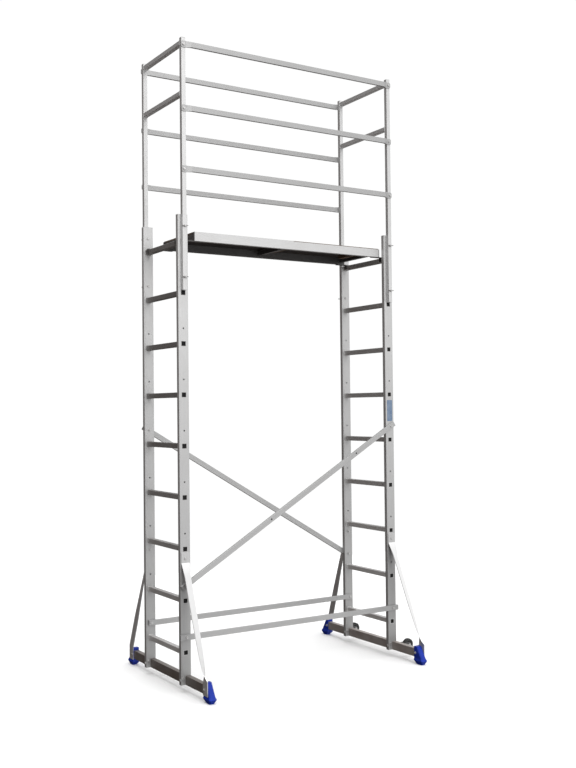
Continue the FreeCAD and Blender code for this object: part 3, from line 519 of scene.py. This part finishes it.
def rung_details(side, material):
    """Ribs along each rung's top and bottom, and welds where it meets the stiles."""
    mesh = bmesh.new()
    inner = -box("stile_" + side + "_front")[1].y
    reach = inner - RIB_END_GAP
    for middle, half in solid_boxes("rungs_" + side):
        for facing in (-1, 1):
            place = Vector((middle.x, facing * (inner - WELD_RADIUS * WELD_SINK), middle.z))
            add_weld(mesh, place, Y_AXIS, half + WELD_RADIUS * 0.3, RUNG_CORNER)
            for rib in range(RIB_COUNT):
                x = middle.x + (rib - (RIB_COUNT - 1) / 2) * half * RIB_PITCH
                z = middle.z + facing * half
                add_six_sided(mesh, [(along_x, y, along_z)
                                     for along_x in (x - RIB_WIDTH / 2, x + RIB_WIDTH / 2)
                                     for y in (-reach, reach)
                                     for along_z in (z - RIB_HEIGHT, z + RIB_HEIGHT)])
    piece("rung_details_" + side, mesh, material, "frame")


def rung_plugs(side, material):
    """Black plugs set a little way into the open ends of the rungs."""
    mesh = bmesh.new()
    end = box("rungs_" + side)[1].y
    for middle, half in solid_boxes("rungs_" + side):
        for facing in (-1, 1):
            place = Vector((middle.x, facing * (end - PLUG_RECESS), middle.z))
            add_plug(mesh, place, Y_AXIS * facing, half - RUNG_WALL, PLUG_CORNER)
    piece("rung_plugs_" + side, mesh, material, "frame")


def crossbar_welds(side, material):
    """Welds where the guard frame's crossbars meet its posts."""
    mesh = bmesh.new()
    inner = box("guard_post_" + side + "_rear")[0].y
    for middle, half in solid_boxes("guard_crossbars_" + side):
        for facing in (-1, 1):
            place = Vector((middle.x, facing * (inner - WELD_RADIUS * WELD_SINK), middle.z))
            add_weld(mesh, place, Y_AXIS, half + WELD_RADIUS * 0.2, CROSSBAR_CORNER)
    piece("crossbar_welds_" + side, mesh, material, "frame")


def fastener_places(obj):
    """Seat under each bolt's head and nut: its point, and the direction away from the work."""
    bolts, nuts = [], []
    for points in islands(obj):
        low, high = points.min(axis=0), points.max(axis=0)
        size = high - low
        middle = (low + high) / 2
        if size.max() > BOLT_SHORTEST:
            axis = int(size.argmax())
            others = [index for index in range(3) if index != axis]
            away = np.hypot(*(points[:, others] - middle[others]).T)
            head = points[away > BOLT_SHANK_REACH][:, axis]
            sign = 1 if head.mean() > middle[axis] else -1
            seat = middle.copy()
            seat[axis] = head.min() if sign > 0 else head.max()
            bolts.append((seat, axis, sign))
        else:
            nuts.append((middle, int(size.argmin()), size.min()))
    places = []
    for seat, axis, sign in bolts:
        direction = Vector([sign if index == axis else 0 for index in range(3)])
        places.append((Vector(seat), direction))
        others = [index for index in range(3) if index != axis]
        for middle, nut_axis, thickness in nuts:
            gap = (seat[axis] - middle[axis]) * sign
            off_axis = np.abs(middle[others] - seat[others]).max()
            if nut_axis == axis and off_axis < NUT_OFF_AXIS and 0 < gap < NUT_FURTHEST:
                nut_seat = middle.copy()
                nut_seat[axis] += sign * thickness / 2
                places.append((Vector(nut_seat), -direction))
    return places


def washers(name, node, material):
    """Flange under each bolt head and nut of a CAD node."""
    mesh = bmesh.new()
    chamfer = WASHER_THICKNESS * 0.3
    profile = [(WASHER_HOLE_RADIUS, 0.0), (WASHER_RADIUS - chamfer, 0.0),
               (WASHER_RADIUS, chamfer), (WASHER_RADIUS, WASHER_THICKNESS - chamfer),
               (WASHER_RADIUS - chamfer, WASHER_THICKNESS),
               (WASHER_HOLE_RADIUS, WASHER_THICKNESS)]
    for seat, direction in fastener_places(nodes[node]):
        add_lathe(mesh, seat, direction, profile, 24, closed=True)
    piece(name, mesh, material, "frame")


def wheel(face, tyre_material, hub_material):
    """Tyre with a crown and three grooves, and the hub's spokes."""
    low, high = box("tyre_" + face)
    middle = (low + high) / 2
    radius = (high.z - low.z) / 2
    half = (high.y - low.y) / 2
    hub_low, hub_high = box("wheel_hub_" + face)
    inner = (hub_high.z - hub_low.z) / 2
    shoulder = half * TREAD_SHOULDER
    profile = [(inner, -half), (radius * 0.9, -half), (radius * 0.965, -shoulder)]
    for place in TREAD_BANDS:
        width = half * 0.1
        y = place * half
        crown = radius * (1 - 0.012 * abs(place))
        profile += [(crown, y - width * 2.2), (crown, y - width),
                    (crown - TREAD_GROOVE, y - width * 0.6),
                    (crown - TREAD_GROOVE, y + width * 0.6),
                    (crown, y + width), (crown, y + width * 2.2)]
    profile += [(radius * 0.965, shoulder), (radius * 0.9, half), (inner, half)]
    mesh = bmesh.new()
    add_lathe(mesh, middle, Y_AXIS, profile, 72, closed=True)
    body = "wheel_" + face
    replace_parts(piece("tyre_tread_" + face, mesh, tyre_material, body), "tyre_" + face)
    mesh = bmesh.new()
    for spoke in range(SPOKES):
        angle = 2 * math.pi * spoke / SPOKES
        outward = Vector((math.cos(angle), 0, math.sin(angle)))
        across = Vector((-math.sin(angle), 0, math.cos(angle)))
        add_six_sided(mesh, [middle + outward * along + across * side + Y_AXIS * y
                             for along in (SPOKE_START, inner - SPOKE_END_GAP)
                             for side in (-SPOKE_HALF_THICKNESS, SPOKE_HALF_THICKNESS)
                             for y in (-shoulder, shoulder)])
    piece("hub_spokes_" + face, mesh, hub_material, body)


def deck_rivets(material):
    """Low rivet heads along the deck's long edges."""
    mesh = bmesh.new()
    low, high = box("deck_panel")
    hatch_low = box("hatch_panel")[0]
    rows = [(high.y - RIVET_INSET, low.x, high.x), (low.y + RIVET_INSET, low.x, hatch_low.x)]
    profile = [(RIVET_RADIUS, -0.0002), (RIVET_RADIUS, 0.0001)]
    profile += [(RIVET_RADIUS * math.cos(a), RIVET_HEIGHT * math.sin(a)) for a in (0.5, 1.0, 1.4)]
    for y, start, end in rows:
        count = int((end - start) / RIVET_PITCH)
        for index in range(count + 1):
            x = start + RIVET_END_GAP + (end - start - 2 * RIVET_END_GAP) * index / count
            add_lathe(mesh, Vector((x, y, high.z)), Z_AXIS, profile, 16)
    piece("deck_rivets", mesh, material, "platform")


def label(material):
    """Plain blue film with rounded corners on the right front stile."""
    low, high = box("stile_right_front")
    middle_x = (low.x + high.x) / 2
    rungs = sorted(float(points[:, 2].mean()) for points in islands(nodes["rungs_right"]))
    z = rungs[LABEL_RUNG] - LABEL_DROP
    half_x, half_z = LABEL_SIZE[0] / 2, LABEL_SIZE[1] / 2
    corner = LABEL_CORNER
    outline = []
    for quarter, (sx, sz) in enumerate(((1, 1), (-1, 1), (-1, -1), (1, -1))):
        for step in range(7):
            angle = math.pi / 2 * (quarter + step / 6)
            outline.append((middle_x + sx * (half_x - corner) + corner * math.cos(angle),
                            z + sz * (half_z - corner) + corner * math.sin(angle)))
    mesh = bmesh.new()
    front = [mesh.verts.new((x, low.y - LABEL_THICKNESS, z)) for x, z in outline]
    back = [mesh.verts.new((x, low.y + LABEL_THICKNESS / 4, z)) for x, z in outline]
    mesh.faces.new(front)
    mesh.faces.new(back)
    join_rings(mesh, [front, back])
    piece("stile_label", mesh, material, "frame")


# Scene ------------------------------------------------------------------------------------------

def paint_frame(materials):
    """Give every CAD node its material and a small bevel."""
    for name, obj in nodes.items():
        material = next(made for prefix, made in materials if name.startswith(prefix))
        obj.data.materials.clear()
        obj.data.materials.append(material)
        bevel = obj.modifiers.new("edge_bevel", "BEVEL")
        bevel.width = BEVEL * (FOOT_BEVEL_FACTOR if name.startswith("foot") else 1)
        bevel.segments = 2
        bevel.limit_method = "ANGLE"
        bevel.angle_limit = math.radians(BEVEL_ANGLE)


def set_camera():
    """Camera turned by its yaw, pitch and roll."""
    right = Vector((math.cos(CAMERA_YAW), -math.sin(CAMERA_YAW), 0))
    forward = Vector((math.sin(CAMERA_YAW) * math.cos(CAMERA_PITCH),
                      math.cos(CAMERA_YAW) * math.cos(CAMERA_PITCH), math.sin(CAMERA_PITCH)))
    up = right.cross(forward)
    turn_right = right * math.cos(CAMERA_ROLL) + up * math.sin(CAMERA_ROLL)
    turn_up = up * math.cos(CAMERA_ROLL) - right * math.sin(CAMERA_ROLL)
    data = bpy.data.cameras.new("camera")
    data.lens = CAMERA_LENS
    data.sensor_width = SENSOR
    data.clip_end = CAMERA_FAR
    camera = bpy.data.objects.new("camera", data)
    turn = Matrix((turn_right, turn_up, -forward)).transposed().to_4x4()
    camera.matrix_world = Matrix.Translation(CAMERA_PLACE) @ turn
    bpy.context.scene.collection.objects.link(camera)
    bpy.context.scene.camera = camera


def sun(name, direction, strength, angle):
    data = bpy.data.lights.new(name, "SUN")
    data.energy = strength
    data.angle = math.radians(angle)
    lamp = bpy.data.objects.new(name, data)
    lamp.rotation_euler = Vector(direction).to_track_quat("-Z", "Y").to_euler()
    bpy.context.scene.collection.objects.link(lamp)


def set_world():
    """Soft surroundings, white in front and above and dark brown behind and to the left."""
    world = bpy.data.worlds.new("studio")
    bpy.context.scene.world = world
    world.use_nodes = True
    tree = world.node_tree

    def made(kind, **settings):
        node = tree.nodes.new("ShaderNode" + kind)
        for key, value in settings.items():
            setattr(node, key, value)
        return node

    dot = made("VectorMath", operation="DOT_PRODUCT")
    tree.links.new(made("TexCoord").outputs["Generated"], dot.inputs[0])
    dot.inputs[1].default_value = WORLD_BRIGHT_SIDE
    side = made("MapRange", interpolation_type="SMOOTHSTEP")
    tree.links.new(dot.outputs["Value"], side.inputs["Value"])
    side.inputs["From Min"].default_value = WORLD_SIDE_FADE[0]
    side.inputs["From Max"].default_value = WORLD_SIDE_FADE[1]
    colour = made("Mix", data_type="RGBA")
    tree.links.new(side.outputs["Result"], colour.inputs["Factor"])
    colour.inputs[6].default_value = WORLD_DARK_SIDE_COLOUR
    colour.inputs[7].default_value = WHITE
    light = tree.nodes["Background"]
    tree.links.new(colour.outputs[2], light.inputs["Color"])
    light.inputs["Strength"].default_value = WORLD_STRENGTH
    backdrop = made("Background")
    backdrop.inputs["Color"].default_value = WHITE
    backdrop.inputs["Strength"].default_value = BACKDROP_BRIGHTNESS
    choice = made("MixShader")
    tree.links.new(made("LightPath").outputs["Is Camera Ray"], choice.inputs[0])
    tree.links.new(light.outputs[0], choice.inputs[1])
    tree.links.new(backdrop.outputs[0], choice.inputs[2])
    tree.links.new(choice.outputs[0], tree.nodes["World Output"].inputs["Surface"])


def set_floor():
    """Pale sheet that takes shadows but sends no light back to the tower."""
    mesh = bmesh.new()
    bmesh.ops.create_grid(mesh, x_segments=1, y_segments=1, size=FLOOR_HALF_SIZE)
    data = bpy.data.meshes.new("floor")
    mesh.to_mesh(data)
    mesh.free()
    floor = bpy.data.objects.new("floor", data)
    floor.location.z = -FLOOR_DROP
    floor.visible_diffuse = False
    floor.visible_glossy = False
    data.materials.append(floor_paint())
    bpy.context.scene.collection.objects.link(floor)


# Painted shade by height darkens the stiles towards the ground; the rungs get painted light towards
# the ground.
stile_metal = extruded_aluminium("aluminium_stile", 2, 0.58, low=(0.36, 2.4))
# The left ladder's rungs and base bar are shaded copies of the right ladder's: painted shade,
# darker and browner.
rung_metal = {
    "left": extruded_aluminium("aluminium_rung_left_painted_shade", 1, 0.33, low=(0.85, 1.25), warmth=0.35),
    "right": extruded_aluminium("aluminium_rung_right", 1, 0.55, low=(0.8, 1.25), warmth=0.15),
}
bar_metal = {
    "left": extruded_aluminium("aluminium_bar_left_painted_shade", 1, 0.34, warmth=0.9),
    "right": extruded_aluminium("aluminium_bar_right", 1, 0.62, warmth=0.7),
}
post_metal = extruded_aluminium("aluminium_post", 2, 0.6)
crossbar_metal = extruded_aluminium("aluminium_crossbar", 1, 0.62)
# The stays' upward-leaning faces get painted light.
stay_metal = extruded_aluminium("aluminium_stay", 2, 0.5, upward_painted_light=0.8)
lengthwise = extruded_aluminium("aluminium_lengthwise", 0, 0.4)
beam_metal = extruded_aluminium("aluminium_beam", 0, 0.58)
# Painted shade: the rear beam, hooks and cross members under the deck get a near-black copy of the
# aluminium because they sit in shade.
painted_shade_under_deck = extruded_aluminium("aluminium_under_deck_painted_shade", 1, 0.12, warmth=0.4)
brace_low, brace_high = box("brace_front_diagonal")
slope = math.atan2(brace_high.z - brace_low.z, brace_high.x - brace_low.x)
rising = extruded_aluminium("aluminium_rising", 0, 0.42, slope=slope)
falling = extruded_aluminium("aluminium_falling", 0, 0.42, slope=-slope)
zinc = zinc_steel()
blue = moulded_plastic("blue_plastic", (0.006, 0.028, 0.32, 1), (0.02, 0.06, 0.42, 1),
                       (0.03, 0.05, 0.22, 1), 0.5, 0.25)
caps = moulded_plastic("cap_plastic", grey(0.5), grey(0.65), grey(0.35, 0.03))
tyre = rubber()
black = moulded_plastic("black_plastic", grey(0.006), grey(0.03), grey(0.03, 0.03), 0.6, 0.2)
hub = moulded_plastic("hub_plastic", grey(0.035), grey(0.09), grey(0.09, 0.03), 0.5)
plywood = film_plywood()

paint_frame([
    ("brace_front_diagonal", rising),
    ("brace_rear_diagonal", falling),
    ("brace", lengthwise),
    ("guard_rail", lengthwise),
    ("guard_post", post_metal),
    ("guard_crossbars", crossbar_metal),
    ("guard_bolts", zinc),
    ("stile", stile_metal),
    ("stay", stay_metal),
    ("rungs_left", rung_metal["left"]),
    ("rungs_right", rung_metal["right"]),
    ("base_bar_left", bar_metal["left"]),
    ("base_bar_right", bar_metal["right"]),
    ("foot", blue),
    ("end_caps", caps),
    ("tyre", tyre),
    ("wheel_hub", hub),
    ("wheel_bracket", extruded_aluminium("bracket_metal", 0, 0.1)),
    ("wheel_axles", zinc),
    ("wing_nut", zinc),
    ("frame_bolts", zinc),
    ("deck_beam_front", beam_metal),
    # The rear beam takes the painted-shade copy; the front beam, the same part, keeps the plain
    # aluminium.
    ("deck_beam_rear", painted_shade_under_deck),
    ("deck_hook", painted_shade_under_deck),
    ("deck_cross", painted_shade_under_deck),
    ("deck_panel", plywood),
    ("hatch_panel", plywood),
    ("hatch_battens", sawn_wood()),
    ("hatch_hinge", zinc),
])

for side in ("left", "right"):
    rung_details(side, rung_metal[side])
    rung_plugs(side, black)
    crossbar_welds(side, crossbar_metal)
washers("frame_washers", "frame_bolts", zinc)
washers("guard_washers", "guard_bolts", zinc)
for face in ("front", "rear"):
    wheel(face, tyre, hub)
deck_rivets(zinc)
label(label_film())

set_camera()
set_world()
sun("key", KEY_DIRECTION, KEY_STRENGTH, KEY_ANGLE)
sun("top", TOP_DIRECTION, TOP_STRENGTH, TOP_ANGLE)
set_floor()
bpy.context.scene.view_settings.view_transform = "Standard"
